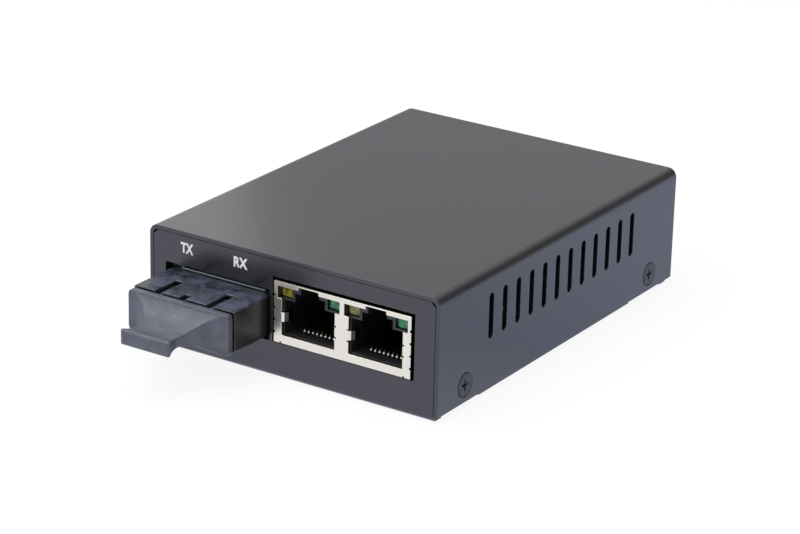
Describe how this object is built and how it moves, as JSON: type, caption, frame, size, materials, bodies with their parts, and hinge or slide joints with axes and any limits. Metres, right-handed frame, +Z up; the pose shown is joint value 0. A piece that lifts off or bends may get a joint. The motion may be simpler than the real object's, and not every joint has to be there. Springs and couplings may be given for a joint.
{
  "type": "fibre media converter",
  "caption": "Folded steel case with a duplex fibre transceiver, its dust plug, and a twin network jack with lamps; power socket at the rear.",
  "frame": {"origin": "middle of the chassis floor's underside, on the surface the case stands on", "axes": "+X right along the front panel, +Y from the front panel to the rear, +Z up"},
  "size_m": [0.07, 0.118, 0.026],
  "materials": {
    "case_paint": "satin dark grey powder coat",
    "screw_steel": "black zinc",
    "bright_steel": "bright zinc",
    "standoff_brass": "turned brass, nickel free",
    "board_laminate": "green solder mask",
    "tinned_steel": "tin plate",
    "black_moulding": "fine matt",
    "contact_gold": "gold plate",
    "amber_lens": "clear lens",
    "green_lens": "clear lens",
    "housing_moulding": "fine matt",
    "white_ceramic": "ground",
    "plug_moulding": "silky",
    "chip_moulding": "matt epoxy",
    "drawn_aluminium": "drawn",
    "dark_ferrite": "pressed"
  },
  "bodies": {
    "root": {"base_chassis": "case_paint", "top_cover": "case_paint", "cover_screws": "screw_steel", "board_standoffs": "standoff_brass", "circuit_board": "board_laminate", "board_screws": "bright_steel", "jack_shield": "tinned_steel", "jack_housing": "black_moulding", "jack_contacts": "contact_gold", "left_amber_led": "amber_lens", "left_green_led": "green_lens", "right_amber_led": "amber_lens", "right_green_led": "green_lens", "transceiver_housing": "housing_moulding", "transceiver_can": "tinned_steel", "transceiver_board": "board_laminate", "transceiver_pins": "contact_gold", "transmit_latch_clip": "housing_moulding", "receive_latch_clip": "housing_moulding", "transmit_sleeve": "white_ceramic", "receive_sleeve": "white_ceramic", "transmit_optics": "bright_steel", "receive_optics": "bright_steel", "power_socket": "black_moulding", "power_pin": "bright_steel", "power_spring": "bright_steel", "switch_chip": "chip_moulding", "crystal": "bright_steel", "input_capacitor": "drawn_aluminium", "output_capacitor": "drawn_aluminium", "power_inductor": "dark_ferrite", "voltage_regulator": "chip_moulding", "chip_resistors": "chip_moulding", "left_magnetics": "chip_moulding", "right_magnetics": "chip_moulding"},
    "dust_plug": {"dust_plug": "plug_moulding"}
  },
  "joints": [
    {"name": "dust_plug_slide", "type": "slide", "parent": "root", "child": "dust_plug", "axis": [0, -1, 0], "range_m": [0, 0.012]}
  ]
}
